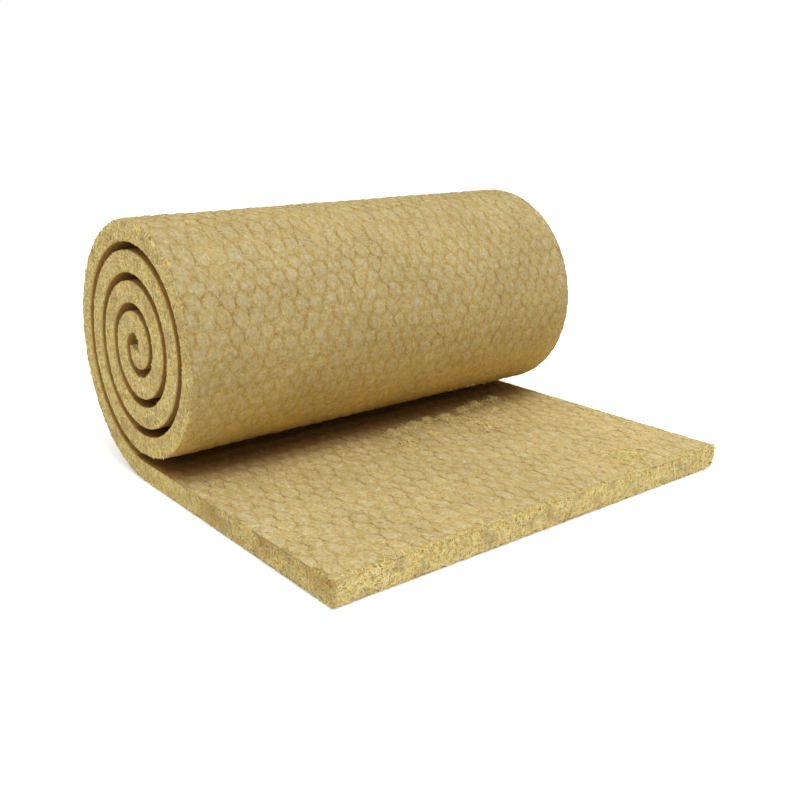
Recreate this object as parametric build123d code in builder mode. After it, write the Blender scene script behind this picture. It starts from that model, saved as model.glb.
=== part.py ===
from build123d import *
import os

# Unfaced mineral wool mat, most of it rolled up and its free end laid out flat.
# Millimetres, +Z up. The mat lies on the floor z = 0, its width runs along Y, and its
# free end points to +X. The origin is the middle of the footprint, on the floor.

# Mat as it is sold
mat_width = 1000.0
mat_thickness = 50.0

# Winding, seen along the axis: every turn is squeezed thinner than the flat mat, and
# stands open from the next one by a narrow gap. The whole turns are counted from the
# foot of the roll inwards; the eye adds most of one more.
rolled_thickness = 44.0
turn_gap = 16.0
eye_radius = 21.0
whole_turns = 3

# Tight fold round which the winding starts, and its square-cut end
fold_rise = 18.0
end_cut_drop = 11.0

# Flat run from the foot of the roll to the free end
tail_length = 655.0

# A spiral of quarter arcs. Each quarter is wider than the one before by a quarter of
# the pitch, and its centre steps back by as much, so that the arcs meet in line. The
# centres go round the corners of a small square.
QUARTERS = 4
pitch = rolled_thickness + turn_gap
step = pitch / QUARTERS
half = step / 2
CENTRES = [(-half, half), (-half, -half), (half, -half), (half, half)]
START_ANGLES = [0, 90, 180, 270]

# Quarter 0 runs from the right of the eye to its top, quarter 2 ends under the eye, and
# the last one ends under the roll
last_quarter = QUARTERS * whole_turns + 2


def quarter(index, radius_at_zero):
    """Centre, radius and start angle of one quarter arc of a face of the winding."""
    corner = index % QUARTERS
    return CENTRES[corner], radius_at_zero + index * step, START_ANGLES[corner]


def add_face(first, radius_at_zero):
    """Draw a face of the winding, from its first quarter to the foot of the roll."""
    arcs = []
    for index in range(first, last_quarter + 1):
        centre, radius, start = quarter(index, radius_at_zero)
        arcs.append(CenterArc(centre, radius, start, 90))
    return arcs


# The last quarter of the outer face is the back of the roll, and it ends on the floor
outer_radius = eye_radius + rolled_thickness
(foot_x, last_centre_z), last_radius, _ = quarter(last_quarter, outer_radius)
axis_height = last_radius - last_centre_z
back_x = foot_x - last_radius
end_x = foot_x + tail_length
axis_x = -(back_x + end_x) / 2

section_plane = Plane(origin=(axis_x, 0, axis_height), x_dir=(1, 0, 0), z_dir=(0, -1, 0))

with BuildPart() as mineral_wool_mat:
    with BuildSketch(section_plane):
        with BuildLine():
            # Inner face: the wall of the eye, then the inside of every turn
            inner = add_face(0, eye_radius)
            eye_wall = inner[0] @ 0
            fold = (eye_wall.X, eye_wall.Y - fold_rise)
            Line(fold, eye_wall)

            # Outer face: it starts two quarters sooner, on the outside of the fold
            outer = add_face(-2, outer_radius)
            outer_start = outer[0] @ 0
            end_corner = (outer_start.X, fold[1] + end_cut_drop)
            Line(outer_start, end_corner)
            Line(end_corner, fold)

            # Tail: flat underneath, swelling to the full thickness at its free end
            inner_foot = inner[-1] @ 1
            outer_foot = outer[-1] @ 1
            end_bottom = (end_x, outer_foot.Y)
            end_top = (end_x, outer_foot.Y + mat_thickness)
            Line(inner_foot, end_top)
            Line(end_top, end_bottom)
            Line(end_bottom, outer_foot)
        make_face()
    extrude(amount=mat_width / 2, both=True)

mineral_wool_mat.part.label = "mineral_wool_mat"

os.makedirs("parts", exist_ok=True)
export_step(mineral_wool_mat.part, "parts/mineral_wool_mat.step")
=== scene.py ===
import math

import bmesh
import bpy
import numpy as np
from mathutils import Matrix, Vector
from mathutils.bvhtree import BVHTree


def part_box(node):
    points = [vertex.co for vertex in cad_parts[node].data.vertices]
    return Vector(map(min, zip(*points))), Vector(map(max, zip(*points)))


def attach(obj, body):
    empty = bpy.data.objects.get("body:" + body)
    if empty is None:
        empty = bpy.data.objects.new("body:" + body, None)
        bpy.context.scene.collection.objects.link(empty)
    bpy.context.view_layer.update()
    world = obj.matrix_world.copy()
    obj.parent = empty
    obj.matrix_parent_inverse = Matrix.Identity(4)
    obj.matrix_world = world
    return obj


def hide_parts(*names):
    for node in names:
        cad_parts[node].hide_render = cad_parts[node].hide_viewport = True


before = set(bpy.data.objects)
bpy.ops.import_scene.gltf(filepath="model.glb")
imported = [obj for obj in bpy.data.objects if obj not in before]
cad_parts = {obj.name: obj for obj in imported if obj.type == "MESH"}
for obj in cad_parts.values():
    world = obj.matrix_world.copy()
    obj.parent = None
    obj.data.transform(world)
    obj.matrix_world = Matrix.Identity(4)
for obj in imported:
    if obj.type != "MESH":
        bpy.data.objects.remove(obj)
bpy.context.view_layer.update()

# The mat, in metres. Its width and its ends come from the frame, and the other values
# are those that the solid was drawn from.
NODE = "mineral_wool_mat"
LOW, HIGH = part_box(NODE)
HALF_WIDTH = HIGH.y
MAT_THICKNESS = 0.050
ROLLED_THICKNESS = 0.044
TURN_GAP = 0.016
EYE_RADIUS = 0.021
WHOLE_TURNS = 3
FOLD_RISE = 0.018
END_CUT_DROP = 0.011

# Spiral of quarter arcs: centres on a small square, radii growing by one step
STEP = (ROLLED_THICKNESS + TURN_GAP) / 4
HALF_STEP = STEP / 2
CENTRES = [
    (-HALF_STEP, HALF_STEP),
    (-HALF_STEP, -HALF_STEP),
    (HALF_STEP, -HALF_STEP),
    (HALF_STEP, HALF_STEP),
]
LAST_QUARTER = 4 * WHOLE_TURNS + 2
OUTER_RADIUS = EYE_RADIUS + ROLLED_THICKNESS
BACK_RADIUS = OUTER_RADIUS + LAST_QUARTER * STEP
AXIS_X = LOW.x + BACK_RADIUS - HALF_STEP
AXIS_Z = BACK_RADIUS + HALF_STEP
FOOT_X = HALF_STEP
END_X = HIGH.x - AXIS_X
TOP_QUARTER = LAST_QUARTER - 2

# Place of the roll's top along the outer face, which starts at the cut end in the eye
END_CUT_HEIGHT = STEP - FOLD_RISE + END_CUT_DROP
WOUND_RADII = [OUTER_RADIUS + quarter * STEP for quarter in range(-2, TOP_QUARTER + 1)]
TOP_ALONG = END_CUT_HEIGHT + math.pi / 2 * sum(WOUND_RADII)

# Spacing of the mesh where the skin shows, which is on the last quarters of the outer
# face, and inside the roll
FINE = 0.0058
COARSE = 0.012
SHOWN_QUARTERS = 4

# Rows of the mesh: the first one in from each cut edge, further ones where the skin is
# hidden, steps round the fold in the eye and along its wall, and how many rows before
# the flat run its upper face already lies in the open
EDGE_ROW = 0.003
HIDDEN_ROWS = [0.015, 0.05, 0.12, 0.25]
FOLD_STEPS = 8
WALL_STEPS = 10
NIP_ROWS = 5

# Levels of the cut faces' vertices, from 0 on the inner face to 1 on the outer face
LEVELS = [0, 0.07, 0.2, 0.35, 0.5, 0.65, 0.8, 0.93, 1]

# Two rows, or two vertices of neighbouring rows, that are closer than this are level
SAME_ROW = 1e-7
SAME_STEP = 1e-6

# The inner face has pattern coordinates of its own, this far along from the outer face's
INNER_FACE_SHIFT = 10.0

# Rows of rounded cells that the oven belt presses into the skin: their width across the
# mat, and from row to row along it on the roll and on the flat run
CELL_WIDTH = 0.034
CELL_ROW = 0.031
FLAT_CELL_ROW = 0.044

# Heights of the relief in the mesh. The cells stand higher on the flat run.
DOME_HEIGHT = 0.0015
FLAT_DOME_GAIN = 1.6
SWELL_HEIGHT = 0.003
CRINKLE_HEIGHT = 0.0012
CRUMPLE_HEIGHT = 0.0022
CUT_ROUGHNESS = 0.0026

# The rows wander off their straight lines, in slow waves and in quick ones. Each has its
# scale, and its reach along and across the mat.
CELL_DRIFTS = [
    (4.0, (0.050, 0.022, 0)),
    (17.0, (0.014, 0.012, 0)),
    (55.0, (0.008, 0.008, 0)),
]

# Heights of the finest relief, which is in the materials
CREASE_DEPTH = 0.0018
FOLD_DEPTH = 0.0004
FELT_HEIGHT = 0.0026
FIBRE_HEIGHT = 0.0015
HOLE_DEPTH = 0.0025

# Where the seam round a cell lies, in half cells from its middle
SEAM_RING = 0.98

# Below the top of the roll the winding has drawn the rows of cells out, in this band of
# the outer face, by this much in all. The least value marks off the band's two ends.
DRAWN_FROM = 0.06
DRAWN_TO = 0.21
DRAWN_BY = 0.055
DRAWN_LEAST = 0.002

# The edges of the cut are rounded over this reach, by this much in the open and by less
# in the gaps
EDGE_REACH = 0.006
EDGE_DROP = 0.0018
GAP_EDGE_DROP = 0.0006

# The skin's relief fades into that of the cut wool over this distance from the rim
RIM_REACH = 0.012

# Scale and reach of the waves in the cut wool's own pattern
FIBRE_DRIFT = (60.0, (0.012, 0.012, 0.012))

# How many loose strands lie on each part of the mat, and the seed of their places
STRAND_SEED = 7
SIDE_STRANDS = 10800
END_STRANDS = 4600
BEHIND_END_STRANDS = 700
TORN_STRANDS = 420
STRANDS_PER_TUFT = 110
SKIN_STRANDS = 10500

# Their least and greatest length, their width, and how far they stand out
CUT_STRAND_SIZE = (0.009, 0.016, 0.0015, 0.0009)
TUFT_STRAND_SIZE = (0.012, 0.026, 0.0020, 0.0026)
SKIN_STRAND_SIZE = (0.005, 0.012, 0.0008, 0.0004)

# Least and greatest angle that a strand turns through, how its width varies, how high its
# axis lies in widths, and the power that makes pale strands more common than dark ones
STRAND_CURLS = (0.5, 2.6)
TUFT_CURLS = (1.5, 4.5)
WIDTH_SPREAD = (0.6, 1.3)
AXIS_HEIGHT = 0.3
SHADE_POWER = 0.6

# A strand has this many rings between its tips, out to this share of its length either
# way, with corners at these angles
STRAND_RINGS = 3
RING_SPAN = 0.26
CORNER_ANGLES = (0.5, 2.6, 4.7)

# Parts of the cut faces that the strands lie on: the levels between the two skins on the
# sides, and the margins below and above on the free end
SIDE_LEVELS = (0.08, 0.93)
END_MARGINS = (0.003, 0.004)

# How far from the free end the strands behind it lie on average, and how widely strands
# are spread in a spot, as a share of its reach
BEHIND_END_REACH = 0.006
SPOT_SPREAD = 0.45

# Linear colours of the skin
SKIN_TAN = (0.480, 0.370, 0.164)
SKIN_GREY = (0.500, 0.425, 0.240)
SKIN_PALE = (0.560, 0.500, 0.330)
SKIN_OCHRE = (0.375, 0.240, 0.062)
SKIN_STAIN = (0.510, 0.370, 0.090)
# Dark colour in the creases: painted shade
SKIN_CREASE_SHADE = (0.250, 0.155, 0.042)
SKIN_SPECK = (0.700, 0.570, 0.280)
# Painted shade deep in the wedge between the roll and the flat run
SKIN_WEDGE_SHADE = (0.230, 0.122, 0.034)
# Painted shade in the gaps between the turns
SKIN_GAP_SHADE = (0.420, 0.235, 0.070)
# Painted warm bounce light low on the roll
SKIN_UNDER_BOUNCE = (0.680, 0.430, 0.090)

# Gain of the flat run, a painted light that makes it lighter than the roll, of its far
# half, which fades in between these places across, and of the roll's front, a painted
# shade, which fades out between these distances below the top
FLAT_LIGHT_GAIN = 1.14
FAR_GAIN = 1.12
FAR_BAND = (0.0, 0.35)
FRONT_SHADE_GAIN = 0.92
FRONT_BAND = (0.45, 0.15)

# Linear colours of the cut wool, and its gain at the skin, a painted shade that darkens
# the cut wool showing on the skin's faces, which face up to more light
CUT_YELLOW = (0.740, 0.535, 0.165)
CUT_PALE = (1.000, 0.820, 0.350)
CUT_GREY = (0.640, 0.470, 0.220)
# Dark colour in the holes between the fibres: painted shade
CUT_HOLE_SHADE = (0.400, 0.240, 0.050)
CUT_SIDE_DARK = (0.520, 0.350, 0.110)
UPPER_CUT_SHADE_GAIN = 0.92
WOOL_ROUGHNESS = 0.95

# Share of grey in the soft clumps of the cut faces, and of the strands on them
CUT_GREYED = 0.8
STRANDS_GREYED = 0.55

# Linear colours of the loose strands: dark, middle and pale. The middle one has its
# place between the other two.
SIDE_SHADES = ((0.520, 0.355, 0.085), (0.970, 0.745, 0.270), (1.000, 0.910, 0.490))
# Painted light: the free end's strands are lighter than those of the sides
END_SHADES_LIT = ((0.540, 0.375, 0.110), (1.000, 0.775, 0.285), (1.000, 0.920, 0.510))
# Painted shade: the strands on top are darker than those of the sides
UPPER_SHADES_DIMMED = ((0.580, 0.430, 0.120), (0.800, 0.640, 0.220), (0.940, 0.830, 0.440))
TUFT_SHADES = ((0.500, 0.340, 0.100), (0.740, 0.560, 0.210), (0.920, 0.760, 0.370))
SKIN_SHADES = ((0.430, 0.310, 0.110), SKIN_TAN, (0.720, 0.610, 0.330))
MIDDLE_SHADE = 0.35

# Where the roll meets the flat run. Down in this wedge the skin is painted darker and
# browner, a painted shade, from a little behind that place on. The reaches are the
# distances from it where each change is whole and where it ends: the roll's warmer
# underside, which is painted bounce light, the darkest skin, which is painted shade, and
# the rims without lobes.
WEDGE_PLACE = (AXIS_X + FOOT_X, ROLLED_THICKNESS + TURN_GAP / 2)
WEDGE_BACK = 0.04
UNDER_REACH = (0.10, 0.42)
DEEP_REACH = (0.08, 0.21)
SMOOTH_RIM_REACH = (0.12, 0.25)

# Tufts of wool pulled up from the flat run, most of them along the edge of the roll's
# shadow: their places in x and y, and their middle's level
TUFT_PLACES = [
    (-0.011, 0.002),
    (-0.017, 0.044),
    (-0.030, 0.084),
    (-0.034, 0.124),
    (-0.028, 0.172),
    (-0.040, 0.240),
    (-0.058, 0.292),
    (-0.064, 0.356),
    (0.006, 0.296),
    (0.038, 0.208),
    (0.058, -0.010),
    (0.095, 0.190),
]
TUFT_LEVEL = 0.046
TUFT_REACH = (0.020, 0.022, 0.030)
TUFT_HEIGHT = 0.006

# Within this distance of the roll's foot the skin has no loose strands
BARE_WEDGE = 0.17

# Patch where the skin has come off, near the free end
TORN_PLACE = (0.396, 0.295, 0.050)
TORN_REACH = (0.046, 0.066, 0.050)
# The cut wool of the patch is painted this much lighter: painted light
TORN_LIGHT_GAIN = 1.30

# Lower corner of the free end that is rubbed round
WORN_CORNER = (END_X + AXIS_X, HALF_WIDTH, 0.0)
WORN_REACH = (0.040, 0.030, 0.022)
WORN_DEPTH = 0.008

# The near side of the flat run is darker. The darkening grows with the height and with
# the way from the roll, and ends at these depths inside the side.
SIDE_DARK_HEIGHTS = (-0.010, 0.044)
SIDE_DARK_ALONG = (-0.05, 0.10)
SIDE_DARK_DEPTHS = (0.004, 0.012)

# Lobes of cut wool reach into the skin from its rim. They are more where the limit is
# lower, as it is near the free end, between these two distances from it.
LOBE_REACH = 0.080
LOBE_LIMITS = (0.56, 0.45)
LOBES_BEHIND_END = (0.030, 0.008)

# Camera: place, angles in radians, focal length and centre in pixels of the picture
CAMERA_PLACE = (1.5797, -1.2899, 0.7679)
CAMERA_YAW = 0.9110
CAMERA_PITCH = 0.2720
CAMERA_ROLL = 0.0023
FOCAL_PIXELS = 986.97
CENTRE_PIXEL = (371.4, 368.45)
PICTURE = 800
SENSOR = 36

# Light and floor
ZENITH_LEVEL = 0.95
HORIZON_LEVEL = 0.54
LAMP_PLACE = (1.3, -0.6, 3.7)
LAMP_TARGET = (0.2, 0.0, 0.2)
LAMP_SIZE = 2.6
LAMP_POWER = 62
FLOOR_SHADE = 0.93
FLOOR_GLOW = 0.36
FLOOR_REACH = 40.0
FLOOR_LEVEL = -0.0005


def arc_point(quarter, turn, radius_at_zero):
    """A point of one face of the winding, from the roll's axis. turn goes from 0 to 1."""
    corner = quarter % 4
    radius = radius_at_zero + quarter * STEP
    angle = math.pi / 2 * (corner + turn)
    centre_x, centre_z = CENTRES[corner]
    return centre_x + radius * math.cos(angle), centre_z + radius * math.sin(angle)


def winding_stations():
    """Lines straight through the mat, from the cut end in the eye to the free end. Each
    is a point on the inner face and one on the outer face."""
    eye_wall = arc_point(0, 0, EYE_RADIUS)
    fold = (eye_wall[0], eye_wall[1] - FOLD_RISE)
    outer_start = arc_point(-2, 0, OUTER_RADIUS)
    end_corner = (outer_start[0], fold[1] + END_CUT_DROP)
    stations = [(fold, end_corner)]
    for turn in np.linspace(0, 1, FOLD_STEPS, endpoint=False):
        stations.append((fold, arc_point(-2, turn, OUTER_RADIUS)))
    for turn in np.linspace(0, 1, WALL_STEPS, endpoint=False):
        wall = (fold[0], fold[1] + FOLD_RISE * turn)
        stations.append((wall, arc_point(-1, turn, OUTER_RADIUS)))
    first_shown = 0
    for quarter in range(LAST_QUARTER + 1):
        shown = quarter > LAST_QUARTER - SHOWN_QUARTERS
        if shown and not first_shown:
            first_shown = len(stations)
        length = math.pi / 2 * (OUTER_RADIUS + quarter * STEP)
        steps = math.ceil(length / (FINE if shown else COARSE))
        for turn in np.linspace(0, 1, steps, endpoint=False):
            inner = arc_point(quarter, turn, EYE_RADIUS)
            stations.append((inner, arc_point(quarter, turn, OUTER_RADIUS)))
    first_flat = len(stations)
    steps = math.ceil((END_X - FOOT_X) / FINE)
    along = list(np.linspace(FOOT_X, END_X, steps, endpoint=False))
    for x in along + [END_X - EDGE_ROW, END_X]:
        share = (x - FOOT_X) / (END_X - FOOT_X)
        thick = ROLLED_THICKNESS + share * (MAT_THICKNESS - ROLLED_THICKNESS)
        stations.append(((x, thick - AXIS_Z), (x, -AXIS_Z)))
    return np.array(stations), first_shown, first_flat


def lines_across(fine):
    """Places across the mat's width where a row of the mesh has its vertices."""
    if fine:
        inner = HALF_WIDTH - 2 * EDGE_ROW
        middle = np.linspace(-inner, inner, round(2 * inner / FINE))
        side = [HALF_WIDTH, HALF_WIDTH - EDGE_ROW]
    else:
        middle = [0.0]
        side = [HALF_WIDTH] + [HALF_WIDTH - d for d in [EDGE_ROW] + HIDDEN_ROWS]
    return np.array([-y for y in side] + list(middle) + side[::-1])


def distances_along(points):
    steps = np.linalg.norm(np.diff(points, axis=0), axis=1)
    return np.concatenate([[0], np.cumsum(steps)])


class Winding:
    """The lines through the mat, with their distances along its two faces, its thickness
    there, and whether each face lies in the open."""

    def __init__(self):
        stations, self.first_shown, self.first_flat = winding_stations()
        self.count = len(stations)
        self.inner, self.outer = stations[:, 0], stations[:, 1]
        self.along_in, self.along_out = distances_along(self.inner), distances_along(self.outer)
        self.thick = np.linalg.norm(self.outer - self.inner, axis=1)
        self.to_end = np.minimum(self.along_out, self.along_out[-1] - self.along_out)
        numbers = np.arange(self.count)
        self.open_inside = numbers >= self.first_flat - NIP_ROWS
        self.open_outside = numbers >= self.first_shown
        self.fine_outside = self.open_outside & (numbers <= self.first_flat + 2)


class Shell:
    """Gathers the vertices, pattern coordinates and faces of one closed mesh."""

    def __init__(self):
        self.points = []
        self.strip = []
        self.rim = []
        self.edge = []
        self.relief = []
        self.open = []
        self.faces = []

    def add(self, points, strip, rim, edge, relief, is_open):
        first = len(self.points)
        self.points += points
        self.strip += strip
        self.rim += list(rim)
        self.edge += list(edge)
        self.relief += [float(relief)] * len(points)
        self.open += list(np.broadcast_to(is_open, len(points)).astype(float))
        return list(range(first, first + len(points)))

    def bridge(self, row_a, at_a, row_b, at_b):
        """Fills the band between two rows, whose vertices may be spaced differently."""
        i, j = 0, 0
        while i < len(row_a) - 1 or j < len(row_b) - 1:
            next_a = at_a[i + 1] if i < len(row_a) - 1 else math.inf
            next_b = at_b[j + 1] if j < len(row_b) - 1 else math.inf
            step_a = next_a < next_b + SAME_STEP
            step_b = next_b < next_a + SAME_STEP
            face = [row_a[i], row_a[i + step_a], row_b[j + step_b], row_b[j]]
            face = list(dict.fromkeys(face))
            if len(face) > 2:
                self.faces.append(face)
            i += step_a
            j += step_b


def skin_row(shell, place, along, length, shift, fine, is_open):
    """A row of the skin across the mat: the numbers of its vertices, and their places
    across the width."""
    lines = lines_across(fine)
    rim = np.minimum(HALF_WIDTH - np.abs(lines), min(along, length - along))
    x, z = place
    points = [(AXIS_X + x, y, AXIS_Z + z) for y in lines]
    strip = [(along + shift, y, 0) for y in lines]
    return shell.add(points, strip, rim, rim, fine, is_open), lines


def add_skin(shell, winding):
    """The rows of both faces of the mat, joined to their neighbours along each face."""
    inner_rows, outer_rows = [], []
    along_in, along_out = winding.along_in, winding.along_out
    for k in range(winding.count):
        if k and along_in[k] - along_in[k - 1] < SAME_ROW:
            inner_rows.append(inner_rows[-1])
        else:
            is_open = winding.open_inside[k]
            along, length = along_in[k], along_in[-1]
            row = skin_row(shell, winding.inner[k], along, length, INNER_FACE_SHIFT, is_open, is_open)
            inner_rows.append(row)
        fine, is_open = winding.fine_outside[k], winding.open_outside[k]
        row = skin_row(shell, winding.outer[k], along_out[k], along_out[-1], 0, fine, is_open)
        outer_rows.append(row)
    for rows in (inner_rows, outer_rows):
        for a, b in zip(rows, rows[1:]):
            if a is not b:
                shell.bridge(*a, *b)
    return inner_rows, outer_rows


def add_cut_side(shell, winding, side, inner_rows, outer_rows):
    """One cut side of the mat, in levels from its inner to its outer face. side is 0 for
    the near side and -1 for the far one."""
    y = lines_across(True)[side]
    levels = [[row[0][side] for row in inner_rows]]
    for level in LEVELS[1:-1]:
        depth = min(level, 1 - level) * winding.thick
        middle = winding.inner + (winding.outer - winding.inner) * level
        points = [(AXIS_X + x, y, AXIS_Z + z) for x, z in middle]
        strip = [(along, y, 0) for along in winding.along_out]
        edge = np.minimum(depth, winding.to_end)
        is_open = winding.open_inside if level < 0.5 else winding.open_outside
        levels.append(shell.add(points, strip, -depth, edge, True, is_open))
    levels.append([row[0][side] for row in outer_rows])
    for a, b in zip(levels, levels[1:]):
        shell.bridge(a, winding.along_out, b, winding.along_out)
    return levels


def add_cut_end(shell, winding, k, lines, sides, inner_row, outer_row):
    """The cut end of the mat at its line k, between the two cut sides."""
    middle = lines[1:-1]
    rows = [inner_row]
    for number, level in enumerate(LEVELS[1:-1], start=1):
        x, z = winding.inner[k] + (winding.outer[k] - winding.inner[k]) * level
        depth = np.full(len(middle), min(level, 1 - level) * winding.thick[k])
        points = [(AXIS_X + x, y, AXIS_Z + z) for y in middle]
        strip = [(0, y, 0) for y in middle]
        edge = np.minimum(depth, HALF_WIDTH - np.abs(middle))
        added = shell.add(points, strip, -depth, edge, True, k > 0)
        rows.append(([sides[0][number][k], *added, sides[1][number][k]], lines))
    rows.append(outer_row)
    for a, b in zip(rows, rows[1:]):
        shell.bridge(*a, *b)


def build_mat():
    """The mat as one closed mesh. Its skin rows run across the width, and the rows of its
    cut sides follow the spiral."""
    winding, shell = Winding(), Shell()
    inner_rows, outer_rows = add_skin(shell, winding)
    sides = [add_cut_side(shell, winding, side, inner_rows, outer_rows) for side in (0, -1)]
    for k, fine in ((0, False), (winding.count - 1, True)):
        add_cut_end(shell, winding, k, lines_across(fine), sides, inner_rows[k], outer_rows[k])
    return shell


def make_mesh(shell, name):
    """The mesh of a shell, with its pattern coordinates as attributes: strip is the place
    along and across the mat, rim the distance to the nearest cut edge, negative on the cut
    faces, edge the same distance on every face, relief 1 where the mesh is fine enough to
    be shaped, and open 0 between the turns of the roll."""
    mesh = bpy.data.meshes.new(name)
    mesh.from_pydata(shell.points, [], shell.faces)
    for label, kind, slot, values in (
        ("strip", "FLOAT_VECTOR", "vector", shell.strip),
        ("rim", "FLOAT", "value", shell.rim),
        ("edge", "FLOAT", "value", shell.edge),
        ("relief", "FLOAT", "value", shell.relief),
        ("open", "FLOAT", "value", shell.open),
    ):
        attribute = mesh.attributes.new(label, kind, "POINT")
        attribute.data.foreach_set(slot, np.array(values, dtype=np.float32).ravel())
    work = bmesh.new()
    work.from_mesh(mesh)
    bmesh.ops.recalc_face_normals(work, faces=work.faces)
    work.to_mesh(mesh)
    work.free()
    mesh.shade_smooth()
    return mesh


class Graph:
    """Short calls that add nodes to one tree, of a material or of a modifier."""

    def __init__(self, tree):
        self.tree = tree
        self.for_mesh = tree.bl_idname == "GeometryNodeTree"

    def feed(self, socket, value):
        if isinstance(value, bpy.types.NodeSocket):
            self.tree.links.new(value, socket)
        else:
            socket.default_value = value

    def node(self, kind, inputs=None, **settings):
        node = self.tree.nodes.new(kind)
        for name, value in settings.items():
            setattr(node, name, value)
        for key, value in (inputs or {}).items():
            self.feed(node.inputs[key], value)
        return node

    def math(self, operation, *values):
        return self.node("ShaderNodeMath", dict(enumerate(values)), operation=operation).outputs[0]

    def times(self, product, *values):
        for value in values:
            product = self.math("MULTIPLY", product, value)
        return product

    def plus(self, total, *values):
        for value in values:
            total = self.math("ADD", total, value)
        return total

    def minus(self, value, less):
        return self.math("SUBTRACT", value, less)

    def vector(self, operation, *values):
        node = self.node("ShaderNodeVectorMath", dict(enumerate(values)), operation=operation)
        return node.outputs[0]

    def scaled(self, vector, factor):
        node = self.node("ShaderNodeVectorMath", {0: vector, "Scale": factor}, operation="SCALE")
        return node.outputs[0]

    def stretched(self, vector, factors):
        return self.vector("MULTIPLY", vector, factors)

    def gained(self, colour, gain):
        return self.stretched(colour, self.joined(gain, gain, gain))

    def parts(self, vector):
        return self.node("ShaderNodeSeparateXYZ", {0: vector}).outputs

    def joined(self, x, y, z):
        return self.node("ShaderNodeCombineXYZ", {0: x, 1: y, 2: z}).outputs[0]

    def ramp(self, value, low, high, start=0.0, end=1.0):
        """start below low, end above high, and a smooth step between."""
        inputs = {0: value, 1: low, 2: high, 3: start, 4: end}
        return self.node("ShaderNodeMapRange", inputs, interpolation_type="SMOOTHSTEP").outputs[0]

    def mix(self, factor, a, b):
        return self.node("ShaderNodeMix", {0: factor, 2: a, 3: b}).outputs[0]

    def blend(self, factor, a, b):
        """Mixes two colours."""
        a, b = (value if isinstance(value, bpy.types.NodeSocket) else (*value, 1) for value in (a, b))
        return self.node("ShaderNodeMix", {0: factor, 6: a, 7: b}, data_type="RGBA").outputs[2]

    def noise(self, place, scale, detail=2.0, rough=0.5):
        inputs = {"Vector": place, "Scale": scale, "Detail": detail, "Roughness": rough}
        return self.node("ShaderNodeTexNoise", inputs)

    def grain(self, place, scale, detail=2.0, rough=0.5):
        """Noise as one number, from 0 to 1 with its middle at a half."""
        return self.noise(place, scale, detail, rough).outputs[0]

    def web(self, place, scale):
        """Distance to the walls between scattered cells, in cell sizes."""
        inputs = {"Vector": place, "Scale": scale}
        return self.node("ShaderNodeTexVoronoi", inputs, feature="DISTANCE_TO_EDGE").outputs[0]

    def wander(self, place, scale, reach):
        """place moved about by up to half of reach, smoothly."""
        drift = self.vector("SUBTRACT", self.noise(place, scale, 1.0).outputs[1], (0.5, 0.5, 0.5))
        return self.vector("ADD", place, self.stretched(drift, reach))

    def spot(self, middle, reach):
        """1 in the middle, falling to 0 at its reach along each axis."""
        away = self.vector("DIVIDE", self.vector("SUBTRACT", self.place(), middle), reach)
        distance = self.node("ShaderNodeVectorMath", {0: away}, operation="LENGTH").outputs[1]
        return self.ramp(distance, 0.1, 1.0, 1.0, 0.0)

    def stored(self, name, vector=False):
        """An attribute of the mesh."""
        if self.for_mesh:
            kind = "FLOAT_VECTOR" if vector else "FLOAT"
            node = self.node("GeometryNodeInputNamedAttribute", data_type=kind)
            node.inputs[0].default_value = name
            return node.outputs[0]
        node = self.node("ShaderNodeAttribute", attribute_name=name)
        return node.outputs[1 if vector else 2]

    def place(self):
        """The place in the row frame."""
        if self.for_mesh:
            return self.node("GeometryNodeInputPosition").outputs[0]
        return self.node("ShaderNodeTexCoord").outputs["Object"]


def cell_rows(graph, strip):
    """Rows of rounded cells, every second row shifted by half a cell. Returns how far a
    place is from its cell's middle, 1 where it meets its neighbour, how much of that is
    across the mat, and a random number for each cell."""
    along, across, _ = graph.parts(strip)
    inner_face = graph.math("GREATER_THAN", along, INNER_FACE_SHIFT / 2)
    row = graph.mix(inner_face, CELL_ROW, FLAT_CELL_ROW)
    found = []
    for shift in (0.0, 0.5):
        u = graph.plus(graph.math("DIVIDE", across, CELL_WIDTH), shift)
        v = graph.plus(graph.math("DIVIDE", along, graph.times(row, 2.0)), shift)
        du = graph.minus(graph.math("FRACT", u), 0.5)
        dv = graph.times(graph.minus(graph.math("FRACT", v), 0.5), math.sqrt(3))
        square = graph.plus(graph.times(du, du), graph.times(dv, dv))
        far = graph.math("SQRT", square)
        name = graph.joined(graph.math("FLOOR", u), graph.math("FLOOR", v), shift)
        lot = graph.node("ShaderNodeTexWhiteNoise", {0: name}).outputs[0]
        found.append((far, graph.math("ABSOLUTE", du), lot))
    (far_a, side_a, lot_a), (far_b, side_b, lot_b) = found
    nearer = graph.math("LESS_THAN", far_a, far_b)
    far = graph.math("MINIMUM", far_a, far_b)
    side = graph.math("DIVIDE", graph.mix(nearer, side_b, side_a), graph.plus(far, 0.02))
    return graph.times(far, 2.0), side, graph.mix(nearer, lot_b, lot_a)


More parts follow.
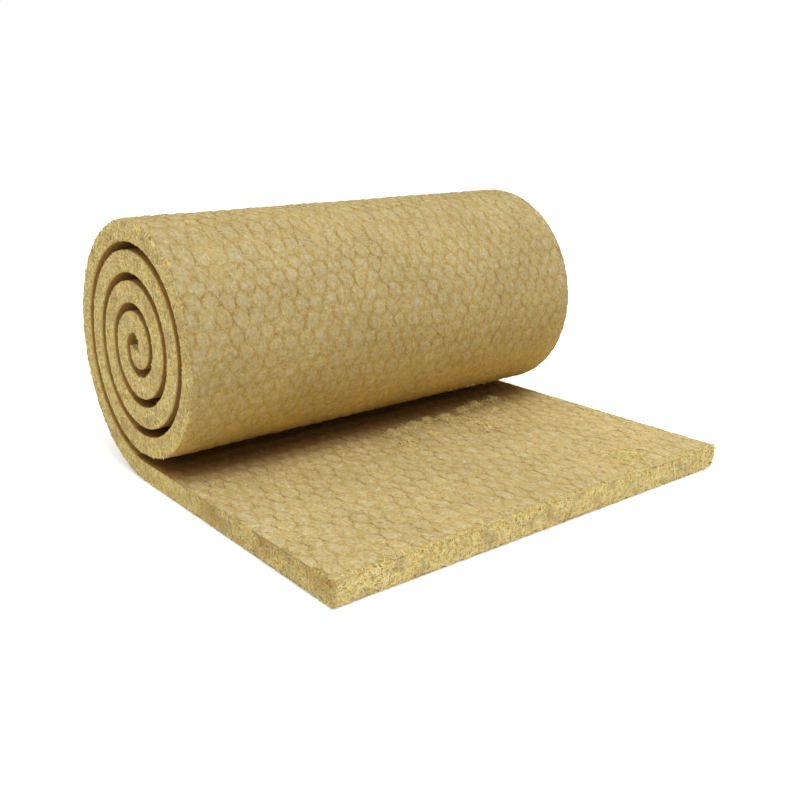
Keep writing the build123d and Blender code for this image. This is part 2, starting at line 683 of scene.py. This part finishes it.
def skin_pattern(graph, strip):
    """The pressed pattern of the skin, as numbers from 0 to 1."""
    along, across, _ = graph.parts(strip)
    on_inner = graph.math("GREATER_THAN", along, INNER_FACE_SHIFT / 2)
    drawn = graph.ramp(along, TOP_ALONG - DRAWN_TO, TOP_ALONG - DRAWN_FROM, 0.0, DRAWN_BY)
    drawn_out = graph.math("COMPARE", drawn, DRAWN_BY / 2, DRAWN_BY / 2 - DRAWN_LEAST)
    loose = graph.joined(graph.minus(along, drawn), across, 0.0)
    for scale, reach in CELL_DRIFTS:
        loose = graph.wander(loose, scale, reach)
    far, side, lot = cell_rows(graph, loose)
    from_ring = graph.math("ABSOLUTE", graph.minus(far, SEAM_RING))
    ring = graph.ramp(from_ring, 0.02, 0.26, 1.0, 0.0)
    seam = graph.math("MAXIMUM", ring, graph.ramp(far, 0.95, 1.05, 0.0, 0.5))
    weaker = graph.mix(graph.math("MAXIMUM", on_inner, drawn_out), 1.0, 0.55)
    sideways = graph.ramp(side, 0.45, 0.85)
    line = graph.ramp(from_ring, 0.01, 0.09, 1.0, 0.0)
    more = graph.math("MAXIMUM", graph.times(drawn_out, 0.10), graph.times(on_inner, 0.08))
    creased = graph.ramp(graph.plus(graph.grain(strip, 14.0, 2.0), more), 0.50, 0.64)
    return {
        "on_inner": on_inner,
        "lot": lot,
        "dome": graph.ramp(far, 0.30, 1.10, 1.0, 0.0),
        "seam": graph.times(seam, weaker, graph.mix(sideways, 0.60, 1.0)),
        "crease": graph.times(line, sideways, creased),
        "strength": graph.ramp(graph.grain(strip, 30.0, 3.0, 0.6), 0.36, 0.62),
    }


def crinkles(graph, strip):
    """Fine folds that run along the mat, 0 to 1, 1 in the fold."""
    slender = graph.stretched(graph.wander(strip, 25.0, (0.02, 0.02, 0)), (22.0, 60.0, 1.0))
    ridge = graph.math("ABSOLUTE", graph.minus(graph.grain(slender, 1.0, 2.0), 0.5))
    return graph.ramp(ridge, 0.0, 0.09, 1.0, 0.0)


def tufts(graph):
    """1 on the tufts of pulled wool, 0 elsewhere."""
    found = 0.0
    for x, y in TUFT_PLACES:
        found = graph.math("MAXIMUM", found, graph.spot((x, y, TUFT_LEVEL), TUFT_REACH))
    return found


def torn(graph):
    """1 well inside the patch without skin, falling to 0 in lobes round it."""
    lobes = graph.ramp(graph.grain(graph.place(), 45.0, 3.0, 0.6), 0.38, 0.62, 0.2, 1.8)
    return graph.ramp(graph.times(graph.spot(TORN_PLACE, TORN_REACH), lobes), 0.30, 0.55)


def skin_height(graph, strip):
    """Relief of the skin: its cells, slow swelling, folds, crumples and tufts."""
    pattern = skin_pattern(graph, strip)
    dome_height = graph.mix(pattern["on_inner"], DOME_HEIGHT, DOME_HEIGHT * FLAT_DOME_GAIN)
    dome = graph.times(pattern["dome"], graph.mix(pattern["lot"], 0.75, 1.0), dome_height)
    swell = graph.times(graph.minus(graph.grain(strip, 6.0, 1.0), 0.5), SWELL_HEIGHT)
    fold = graph.times(crinkles(graph, strip), -CRINKLE_HEIGHT)
    crumple = graph.times(graph.minus(graph.grain(strip, 48.0, 2.0), 0.5), CRUMPLE_HEIGHT)
    lumpy = graph.mix(graph.grain(graph.place(), 90.0, 2.0), 0.4, 1.6)
    tuft = graph.times(tufts(graph), lumpy, TUFT_HEIGHT)
    return graph.plus(dome, swell, fold, crumple, tuft)


def relief_height(graph):
    """How far the mesh moves out along its normals."""
    place = graph.place()
    lumps = graph.minus(graph.grain(place, 70.0, 3.0, 0.6), 0.5)
    cut = graph.times(lumps, 2 * CUT_ROUGHNESS)
    on_skin = graph.ramp(graph.stored("rim"), 0.0, RIM_REACH)
    surface = graph.mix(on_skin, cut, skin_height(graph, graph.stored("strip", True)))
    surface = graph.times(surface, graph.stored("relief"))
    rounding = graph.ramp(graph.stored("edge"), 0.0, EDGE_REACH, 1.0, 0.0)
    nick = graph.mix(graph.grain(place, 40.0, 2.0), 0.6, 1.4)
    depth = graph.times(graph.mix(graph.stored("open"), GAP_EDGE_DROP, EDGE_DROP), nick, rounding)
    worn = graph.times(graph.spot(WORN_CORNER, WORN_REACH), WORN_DEPTH)
    return graph.minus(surface, graph.plus(depth, worn))


def add_relief(piece):
    """Moves the skin and the cut faces of the mat, which stays on the floor."""
    tree = bpy.data.node_groups.new("relief", "GeometryNodeTree")
    for way in ("INPUT", "OUTPUT"):
        tree.interface.new_socket("Geometry", in_out=way, socket_type="NodeSocketGeometry")
    graph = Graph(tree)
    normal = graph.node("GeometryNodeInputNormal").outputs[0]
    moved = graph.vector("ADD", graph.place(), graph.scaled(normal, relief_height(graph)))
    x, y, z = graph.parts(moved)
    on_floor = graph.joined(x, y, graph.math("MAXIMUM", z, 0.0))
    start = graph.node("NodeGroupInput").outputs[0]
    shaped = graph.node("GeometryNodeSetPosition", {"Geometry": start, "Position": on_floor})
    graph.node("NodeGroupOutput", {0: shaped.outputs[0]})
    modifier = piece.modifiers.new("relief", "NODES")
    modifier.node_group = tree
    made = piece.evaluated_get(bpy.context.evaluated_depsgraph_get())
    mesh = bpy.data.meshes.new_from_object(made)
    piece.modifiers.clear()
    piece.data = mesh
    bpy.data.node_groups.remove(tree)


def wool_shader(name):
    """A new material's graph and its matt shader."""
    material = bpy.data.materials.new(name)
    material.use_nodes = True
    graph = Graph(material.node_tree)
    shader = material.node_tree.nodes["Principled BSDF"]
    shader.inputs["Roughness"].default_value = WOOL_ROUGHNESS
    shader.inputs["Specular IOR Level"].default_value = 0.0
    return material, graph, shader


def wedge_depth(graph, near, far):
    """1 in the wedge between the roll and the flat run, 0 from the far distance on."""
    x, _, z = graph.parts(graph.place())
    wedge_x, wedge_z = WEDGE_PLACE
    from_nip = graph.joined(graph.minus(x, wedge_x), 0.0, graph.minus(z, wedge_z))
    distance = graph.node("ShaderNodeVectorMath", {0: from_nip}, operation="LENGTH").outputs[1]
    depth = graph.ramp(distance, near, far, 1.0, 0.0)
    return graph.times(depth, graph.math("GREATER_THAN", x, wedge_x - WEDGE_BACK))


def pressed_colour(graph, strip, pattern):
    """Colour of the pressed skin: tan, greyer on the cells and ochre in the seams between
    them, with paler patches and yellow stains."""
    patch = graph.ramp(graph.grain(strip, 34.0, 3.0), 0.38, 0.60)
    grey = graph.times(pattern["dome"], patch, graph.mix(pattern["lot"], 0.35, 1.0))
    colour = graph.blend(grey, SKIN_TAN, SKIN_GREY)
    ochre = graph.times(pattern["seam"], graph.mix(pattern["strength"], 0.34, 0.95))
    colour = graph.blend(ochre, colour, SKIN_OCHRE)
    near_rim = graph.ramp(graph.stored("rim"), 0.0, 0.06, 0.07, 0.0)
    pale = graph.plus(graph.grain(strip, 62.0, 2.0), near_rim)
    colour = graph.blend(graph.ramp(pale, 0.58, 0.70, 0.0, 0.60), colour, SKIN_PALE)
    stain = graph.plus(graph.grain(strip, 34.0, 5.0, 0.70), graph.times(pattern["seam"], 0.06))
    return graph.blend(graph.ramp(stain, 0.56, 0.69, 0.0, 0.66), colour, SKIN_STAIN)


def flecked(graph, colour, strip):
    """colour with pale fluff and dots of loose wool on it."""
    fluff = graph.grain(graph.wander(strip, 130.0, (0.010, 0.010, 0)), 210.0, 3.0, 0.7)
    colour = graph.blend(graph.ramp(fluff, 0.49, 0.64, 0.0, 0.42), colour, SKIN_SPECK)
    dots = graph.ramp(graph.grain(strip, 190.0, 1.0), 0.69, 0.77, 0.0, 0.6)
    return graph.blend(dots, colour, SKIN_SPECK)


def with_painted_shade(graph, colour, on_inner, below):
    """colour with painted warm bounce light low on the roll, painted shade in the gaps
    between the turns and deep in the wedge but for the tufts, and paler on the tufts."""
    under_bounce = graph.times(below, graph.minus(1.0, on_inner))
    # Painted warm bounce light low on the roll's outer face
    colour = graph.blend(graph.times(under_bounce, 0.7), colour, SKIN_UNDER_BOUNCE)
    # Painted shade in the gaps between the turns, where open is 0
    colour = graph.blend(graph.stored("open"), SKIN_GAP_SHADE, colour)
    pulled = tufts(graph)
    # Painted shade deep in the wedge, but for the tufts
    deep = graph.times(wedge_depth(graph, *DEEP_REACH), graph.mix(on_inner, 0.35, 1.0))
    colour = graph.blend(graph.times(deep, graph.minus(1.0, pulled)), colour, SKIN_WEDGE_SHADE)
    return graph.blend(graph.times(pulled, 0.8), colour, SKIN_SPECK)


def skin_gain(graph, strip, on_inner, fine):
    """How light the skin is: its fine grain, soft clouds, and each large part's gain: painted
    light on the flat run and painted shade on the roll's front.
    """
    along, across, _ = graph.parts(strip)
    grain = graph.ramp(fine, 0.34, 0.58, 0.82, 1.08)
    cloud = graph.ramp(graph.grain(strip, 8.0, 2.0), 0.30, 0.70, 0.94, 1.06)
    # Painted shade on the roll's front, painted light on the flat run
    low, high = FRONT_BAND
    front_shade = graph.ramp(along, TOP_ALONG - low, TOP_ALONG - high, FRONT_SHADE_GAIN, 1.0)
    flat = graph.times(graph.ramp(across, *FAR_BAND, 1.0, FAR_GAIN), FLAT_LIGHT_GAIN)
    return graph.times(grain, cloud, graph.mix(on_inner, front_shade, flat))


def skin_look(graph):
    """Colour of the skin, and the height of its finest relief."""
    strip = graph.stored("strip", True)
    pattern = skin_pattern(graph, strip)
    on_inner = pattern["on_inner"]
    fold = crinkles(graph, strip)
    # Where the painted warm bounce light lies, low on the roll
    below = wedge_depth(graph, *UNDER_REACH)
    fine = graph.grain(strip, 120.0, 4.0, 0.75)
    colour = pressed_colour(graph, strip, pattern)
    colour = graph.blend(graph.times(fold, graph.mix(below, 0.20, 0.50)), colour, SKIN_OCHRE)
    # Painted shade in the creases, which the bump also presses in
    crease = graph.times(pattern["crease"], graph.mix(on_inner, 0.40, 0.50))
    colour = graph.blend(crease, colour, SKIN_CREASE_SHADE)
    colour = with_painted_shade(graph, flecked(graph, colour, strip), on_inner, below)
    colour = graph.gained(colour, skin_gain(graph, strip, on_inner, fine))
    folds = graph.plus(graph.times(crease, -CREASE_DEPTH), graph.times(fold, -FOLD_DEPTH))
    return colour, graph.plus(folds, graph.times(fine, FELT_HEIGHT))


def clumped(graph, colour, share):
    """colour turned greyer in soft clumps, and darker on the near side of the flat run."""
    x, y, z = graph.parts(graph.place())
    place = graph.wander(graph.place(), *FIBRE_DRIFT)
    clump = graph.ramp(graph.grain(place, 26.0, 3.0, 0.6), 0.48, 0.64, 0.0, share)
    colour = graph.blend(clump, colour, CUT_GREY)
    shallow, deep = SIDE_DARK_DEPTHS
    near_side = graph.ramp(y, LOW.y + shallow, LOW.y + deep, 1.0, 0.0)
    patchy = graph.ramp(graph.grain(place, 14.0, 2.0), 0.34, 0.56, 0.15, 0.70)
    side_dark = graph.times(graph.ramp(z, *SIDE_DARK_HEIGHTS), graph.ramp(x, *SIDE_DARK_ALONG), near_side, patchy)
    return graph.blend(side_dark, colour, CUT_SIDE_DARK)


def cut_look(graph):
    """Colour of the cut wool, and the height of its finest relief."""
    place = graph.wander(graph.place(), *FIBRE_DRIFT)
    bare = torn(graph)
    colour = graph.blend(bare, clumped(graph, CUT_YELLOW, CUT_GREYED), CUT_YELLOW)
    strand = graph.ramp(graph.web(place, 150.0), 0.0, 0.12, 1.0, 0.0)
    strand = graph.times(strand, graph.ramp(graph.grain(place, 90.0), 0.36, 0.56))
    colour = graph.blend(graph.times(strand, 0.85), colour, CUT_PALE)
    # Painted shade in the holes between the fibres, which the bump also presses in
    hole = graph.ramp(graph.grain(place, 130.0, 3.0, 0.65), 0.34, 0.46, 0.80, 0.0)
    colour = graph.blend(hole, colour, CUT_HOLE_SHADE)
    # Painted shade: cut wool showing on the skin's faces is darker
    gain = graph.ramp(graph.stored("rim"), -0.002, 0.003, 1.0, UPPER_CUT_SHADE_GAIN)
    # Painted light: the torn patch's cut wool is lighter
    colour = graph.gained(colour, graph.times(gain, graph.mix(bare, 1.0, TORN_LIGHT_GAIN)))
    height = graph.plus(graph.times(strand, FIBRE_HEIGHT), graph.times(hole, -HOLE_DEPTH))
    return colour, height


def skin_part(graph):
    """1 on the skin and 0 on the cut wool, with a ragged limit between them."""
    far, near = LOBES_BEHIND_END
    limit = graph.ramp(graph.parts(graph.place())[0], HIGH.x - far, HIGH.x - near, *LOBE_LIMITS)
    lobe = graph.minus(graph.grain(graph.place(), 36.0, 4.0, 0.6), limit)
    free = graph.minus(1.0, wedge_depth(graph, *SMOOTH_RIM_REACH))
    reach = graph.times(lobe, graph.times(graph.stored("open"), free), -LOBE_REACH)
    ragged = graph.plus(graph.stored("rim"), reach)
    share = graph.ramp(ragged, -0.0015, 0.0025)
    return graph.times(share, graph.minus(1.0, torn(graph)))


def mat_material():
    """The mat's skin, and its cut wool where the skin ends."""
    material, graph, shader = wool_shader("mineral_wool_mat")
    skin_colour, skin_grain = skin_look(graph)
    cut_colour, cut_grain = cut_look(graph)
    share = skin_part(graph)
    height = graph.mix(share, cut_grain, skin_grain)
    bump = graph.node("ShaderNodeBump", {"Height": height, "Strength": 1.0, "Distance": 1.0})
    graph.feed(shader.inputs["Base Color"], graph.blend(share, cut_colour, skin_colour))
    graph.feed(shader.inputs["Normal"], bump.outputs[0])
    return material


def strand_material(name, shades, greyed=0.0):
    """Loose strands, each with its own shade from dark to pale. greyed is the share of
    grey in their clumps."""
    dark, middle, pale = shades
    material, graph, shader = wool_shader(name)
    shade = graph.stored("shade")
    colour = graph.blend(graph.ramp(shade, 0.0, MIDDLE_SHADE), dark, middle)
    colour = graph.blend(graph.ramp(shade, MIDDLE_SHADE, 1.0), colour, pale)
    if greyed:
        colour = clumped(graph, colour, greyed)
    graph.feed(shader.inputs["Base Color"], colour)
    return material


def unit(vectors):
    return vectors / np.maximum(np.linalg.norm(vectors, axis=1), 1e-9)[:, None]


def strand_triangles():
    """Corner numbers of one strand: a tip, rings of three corners, and the other tip."""
    triangles = [(0, 2, 1), (0, 3, 2), (0, 1, 3)]
    for ring in range(STRAND_RINGS - 1):
        start = 1 + 3 * ring
        for a, b in ((start, start + 1), (start + 1, start + 2), (start + 2, start)):
            triangles += [(a, b, b + 3), (a, b + 3, a + 3)]
    last = 3 * STRAND_RINGS - 2
    tip = last + 3
    return triangles + [(tip, last, last + 1), (tip, last + 1, last + 2), (tip, last + 2, last)]


def scatter_strands(name, wanted, surface, size, curls, random):
    """One piece of thin curled strands that lie on a surface. wanted has their rough
    places, and size the least and greatest length, the width, and how far they stand
    out. curls has the least and greatest angle that a strand turns through."""
    shortest, longest, width, lift = size
    count = len(wanted)
    found = [surface.find_nearest(Vector(place)) for place in wanted]
    root = np.array([hit[0] for hit in found])
    normal = unit(np.array([hit[1] for hit in found]))
    heading = unit(np.cross(normal, random.normal(size=(count, 3))))
    across = np.cross(normal, heading)

    def each(values):
        return np.array(values)[:, None]

    length = each(random.uniform(shortest, longest, count))
    curl = each(random.uniform(*curls, count) * random.choice([-1, 1], count))
    thick = each(width * random.uniform(*WIDTH_SPREAD, count))
    rise = each(np.abs(random.normal(0, lift, count)))
    tilt = each(random.normal(0, lift, count))

    def middle(t):
        ahead = np.sin(curl * t) / curl
        aside = (1 - np.cos(curl * t)) / curl
        up = thick * AXIS_HEIGHT + rise * (0.5 - 2 * t * t) + tilt * t
        return root + heading * length * ahead + across * length * aside + normal * up

    points = [middle(-0.5)]
    for t in np.linspace(-RING_SPAN, RING_SPAN, STRAND_RINGS):
        aside = across * np.cos(curl * t) - heading * np.sin(curl * t)
        radius = thick / 2 * (1 - 2 * t * t)
        for angle in CORNER_ANGLES:
            points.append(middle(t) + (aside * math.cos(angle) + normal * math.sin(angle)) * radius)
    points = np.stack(points + [middle(0.5)], axis=1)
    points[:, :, 2] = np.maximum(points[:, :, 2], 0.0)
    corners = points.shape[1]
    faces = np.array(strand_triangles())[None] + corners * np.arange(count)[:, None, None]
    mesh = bpy.data.meshes.new(name)
    mesh.from_pydata(points.reshape(-1, 3), [], faces.reshape(-1, 3))
    shade = np.repeat(random.uniform(0, 1, count) ** SHADE_POWER, corners)
    attribute = mesh.attributes.new("shade", "FLOAT", "POINT")
    attribute.data.foreach_set("value", shade.astype(np.float32))
    mesh.shade_smooth()
    return mesh


def places_on_side(count, y, random):
    """Random places on a cut side of the mat, even over its area but for its edges."""
    winding = Winding()
    inner, outer, thick = winding.inner, winding.outer, winding.thick
    steps = np.linalg.norm(np.diff((inner + outer) / 2, axis=0), axis=1)
    area = steps * (thick[1:] + thick[:-1]) / 2
    band = random.choice(len(area), count, p=area / area.sum())
    share = random.uniform(0, 1, count)[:, None]
    level = random.uniform(*SIDE_LEVELS, count)[:, None]
    near = inner[band] + (inner[band + 1] - inner[band]) * share
    far = outer[band] + (outer[band + 1] - outer[band]) * share
    place = near + (far - near) * level
    return np.stack([AXIS_X + place[:, 0], np.full(count, y), AXIS_Z + place[:, 1]], axis=1)


def places_on_skin(count, random):
    """Random places on the skin that shows, outside the roll and on the flat run, but for
    those round the roll's foot."""
    winding = Winding()
    roll = winding.outer[winding.first_shown:winding.first_flat]
    flat = winding.inner[winding.first_flat + NIP_ROWS:]
    lines = np.concatenate([np.stack([line[:-1], line[1:]], axis=1) for line in (roll, flat)])
    length = np.linalg.norm(lines[:, 1] - lines[:, 0], axis=1)
    chosen = lines[random.choice(len(lines), count, p=length / length.sum())]
    share = random.uniform(0, 1, count)[:, None]
    place = chosen[:, 0] + (chosen[:, 1] - chosen[:, 0]) * share
    y = random.uniform(-HALF_WIDTH, HALF_WIDTH, count)
    x, z = AXIS_X + place[:, 0], AXIS_Z + place[:, 1]
    bare = np.hypot(x - WEDGE_PLACE[0], z - WEDGE_PLACE[1]) < BARE_WEDGE
    return np.stack([x, y, z], axis=1)[~bare]


def places_in_spot(count, middle, reach, random):
    """Random places round a middle, densest there."""
    return np.array(middle) + np.array(reach) * random.normal(0, SPOT_SPREAD, (count, 3))


def places_on_end(count, random):
    """Random places on the cut face of the free end, but for its lower and upper edge."""
    below, above = END_MARGINS
    low, high = (HIGH.x, LOW.y, below), (HIGH.x, HIGH.y, MAT_THICKNESS - above)
    return random.uniform(low, high, (count, 3))


def places_behind_end(count, random):
    """Random places on the flat run just behind the cut end, fewer farther from it."""
    x = HIGH.x - random.exponential(BEHIND_END_REACH, count)
    y = random.uniform(LOW.y, HIGH.y, count)
    return np.stack([x, y, np.full(count, MAT_THICKNESS)], axis=1)


def add_piece(name, mesh, material):
    piece = bpy.data.objects.new(name, mesh)
    bpy.context.collection.objects.link(piece)
    piece.data.materials.append(material)
    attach(piece, "root")
    return piece


def add_strands(surface):
    """The pieces of loose strands: on both cut sides, on the free end, behind it and on
    the torn patch, in the tufts, and on the skin."""
    random = np.random.default_rng(STRAND_SEED)

    def add(name, places, size, material, curls=STRAND_CURLS):
        add_piece(name, scatter_strands(name, places, surface, size, curls, random), material)

    wool = strand_material("mineral_wool_strands", SIDE_SHADES, STRANDS_GREYED)
    for name, y in (("strands_near_side", LOW.y), ("strands_far_side", HIGH.y)):
        add(name, places_on_side(SIDE_STRANDS, y, random), CUT_STRAND_SIZE, wool)

    # Painted light: the free end's strands are lighter than those of the sides
    wool = strand_material("mineral_wool_end_strands", END_SHADES_LIT, STRANDS_GREYED)
    add("strands_end", places_on_end(END_STRANDS, random), CUT_STRAND_SIZE, wool)

    # Painted shade: the strands on top are darker than those of the sides
    wool = strand_material("mineral_wool_upper_strands", UPPER_SHADES_DIMMED)
    behind_end = places_behind_end(BEHIND_END_STRANDS, random)
    in_patch = places_in_spot(TORN_STRANDS, TORN_PLACE, TORN_REACH, random)
    add("strands_upper", np.concatenate([behind_end, in_patch]), CUT_STRAND_SIZE, wool)

    wool = strand_material("mineral_wool_tuft_strands", TUFT_SHADES)
    middles = [(x, y, TUFT_LEVEL) for x, y in TUFT_PLACES]
    pulled = [places_in_spot(STRANDS_PER_TUFT, middle, TUFT_REACH, random) for middle in middles]
    add("strands_tufts", np.concatenate(pulled), TUFT_STRAND_SIZE, wool, TUFT_CURLS)

    wool = strand_material("mineral_wool_skin_strands", SKIN_SHADES)
    add("strands_skin", places_on_skin(SKIN_STRANDS, random), SKIN_STRAND_SIZE, wool)


def add_camera():
    data = bpy.data.cameras.new("camera")
    camera = bpy.data.objects.new("camera", data)
    bpy.context.collection.objects.link(camera)
    level = math.cos(CAMERA_PITCH)
    ahead_x, ahead_y = -math.sin(CAMERA_YAW) * level, math.cos(CAMERA_YAW) * level
    forward = Vector((ahead_x, ahead_y, -math.sin(CAMERA_PITCH)))
    right = forward.cross(Vector((0, 0, 1))).normalized()
    up = right.cross(forward)
    turn = Matrix.Rotation(CAMERA_ROLL, 3, -forward)
    axes = Matrix((turn @ right, turn @ up, -forward)).transposed()
    camera.matrix_world = Matrix.Translation(CAMERA_PLACE) @ axes.to_4x4()
    data.sensor_width = SENSOR
    data.lens = SENSOR * FOCAL_PIXELS / PICTURE
    data.shift_x = (PICTURE / 2 - CENTRE_PIXEL[0]) / PICTURE
    data.shift_y = (CENTRE_PIXEL[1] - PICTURE / 2) / PICTURE
    bpy.context.scene.camera = camera


def seen_directly(graph):
    """1 for what the camera sees, also in gloss or through glass."""
    rays = graph.node("ShaderNodeLightPath").outputs
    shine = graph.math("MAXIMUM", rays["Is Glossy Ray"], rays["Is Transmission Ray"])
    return graph.math("MAXIMUM", rays["Is Camera Ray"], shine)


def add_floor():
    mesh = bpy.data.meshes.new("floor")
    reach = FLOOR_REACH
    corners = [(-reach, -reach, 0), (reach, -reach, 0), (reach, reach, 0), (-reach, reach, 0)]
    mesh.from_pydata(corners, [], [(0, 1, 2, 3)])
    floor = bpy.data.objects.new("floor", mesh)
    floor.location.z = FLOOR_LEVEL
    bpy.context.collection.objects.link(floor)
    material = bpy.data.materials.new("floor")
    material.use_nodes = True
    graph = Graph(material.node_tree)
    shader = material.node_tree.nodes["Principled BSDF"]
    shader.inputs["Base Color"].default_value = (FLOOR_SHADE, FLOOR_SHADE, FLOOR_SHADE, 1)
    shader.inputs["Roughness"].default_value = 1.0
    shader.inputs["Specular IOR Level"].default_value = 0.0
    shader.inputs["Emission Color"].default_value = (1, 1, 1, 1)
    glow = graph.times(seen_directly(graph), FLOOR_GLOW)
    graph.feed(shader.inputs["Emission Strength"], glow)
    mesh.materials.append(material)


def add_world():
    world = bpy.data.worlds.new("world")
    bpy.context.scene.world = world
    world.use_nodes = True
    graph = Graph(world.node_tree)
    background = world.node_tree.nodes["Background"]
    background.inputs["Color"].default_value = (1, 1, 1, 1)
    height = graph.parts(graph.node("ShaderNodeTexCoord").outputs["Generated"])[2]
    sky = graph.ramp(height, 0.0, 1.0, HORIZON_LEVEL, ZENITH_LEVEL)
    level = graph.mix(seen_directly(graph), sky, 1.0)
    graph.feed(background.inputs["Strength"], level)


def add_lamp(name, place, target, size, power):
    data = bpy.data.lights.new(name, "AREA")
    data.shape = "DISK"
    data.size = size
    data.energy = power
    lamp = bpy.data.objects.new(name, data)
    lamp.location = place
    lamp.rotation_euler = (Vector(target) - Vector(place)).to_track_quat("-Z", "Y").to_euler()
    bpy.context.collection.objects.link(lamp)


add_camera()

mat = add_piece("wool_mat", make_mesh(build_mat(), "wool_mat"), mat_material())
add_relief(mat)
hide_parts(NODE)

bpy.context.view_layer.update()
add_strands(BVHTree.FromObject(mat, bpy.context.evaluated_depsgraph_get()))

add_floor()
add_world()
add_lamp("key", LAMP_PLACE, LAMP_TARGET, LAMP_SIZE, LAMP_POWER)

bpy.context.scene.view_settings.view_transform = "Standard"
